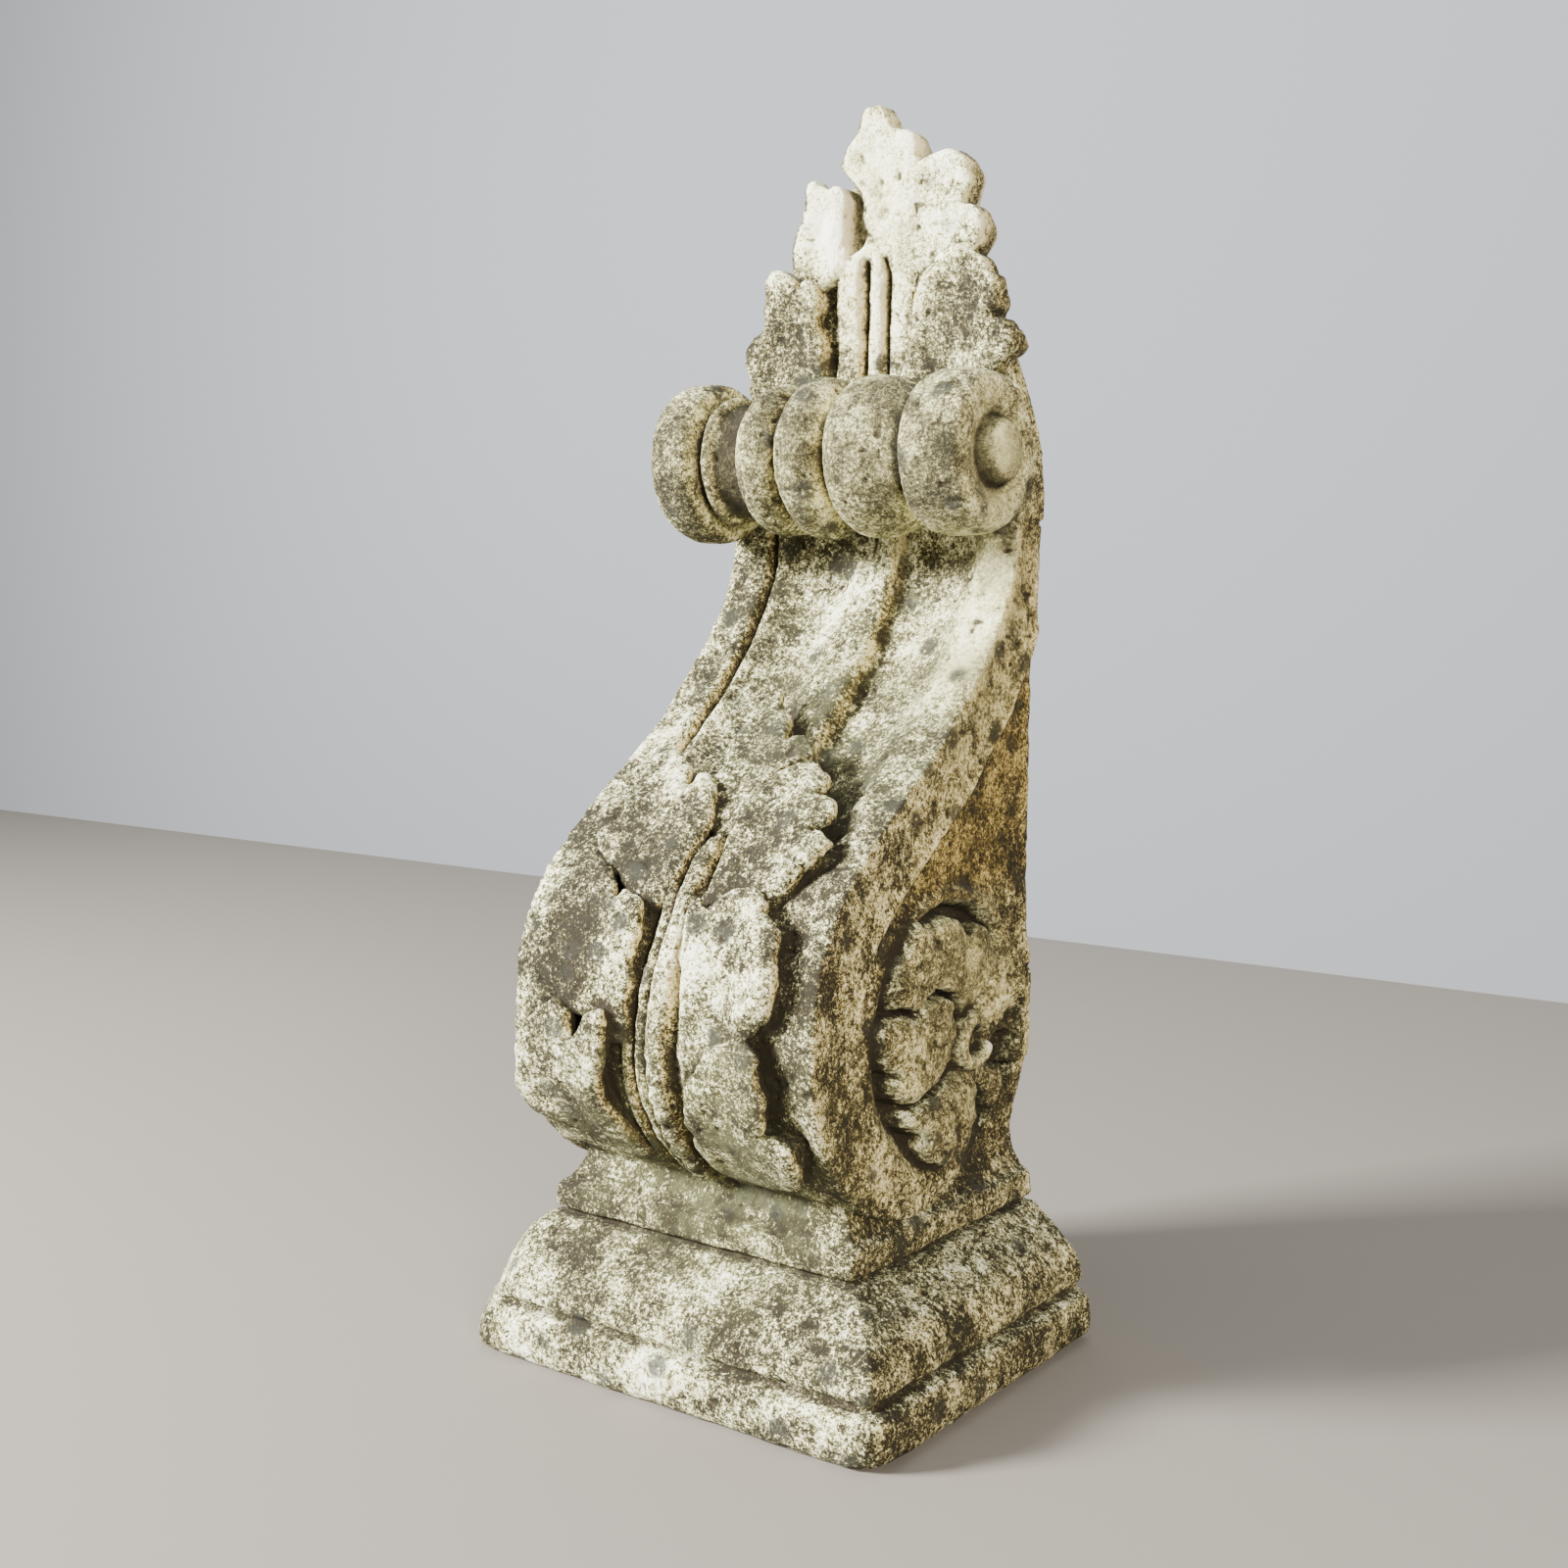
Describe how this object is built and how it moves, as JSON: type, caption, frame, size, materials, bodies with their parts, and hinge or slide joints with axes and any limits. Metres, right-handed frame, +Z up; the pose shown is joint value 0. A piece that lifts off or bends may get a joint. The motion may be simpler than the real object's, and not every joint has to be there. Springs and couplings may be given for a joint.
{
  "type": "concrete bracket",
  "caption": "Cast concrete corbel with a moulded abacus, an S-curved body with an acanthus leaf, side rosettes, a reeded roller and a palmette finial; carries a shelf or cornice on a wall.",
  "frame": {"origin": "middle of the bounding box's underside, on the surface that the plinth stands on", "axes": "+Z up from the plinth to the finial's tip, +Y from the carved front to the flat back that goes on the wall, +X across the width"},
  "size_m": [0.246, 0.194, 0.6],
  "materials": {
    "concrete": null
  },
  "bodies": {
    "root": {"bracket": "concrete"}
  },
  "joints": []
}
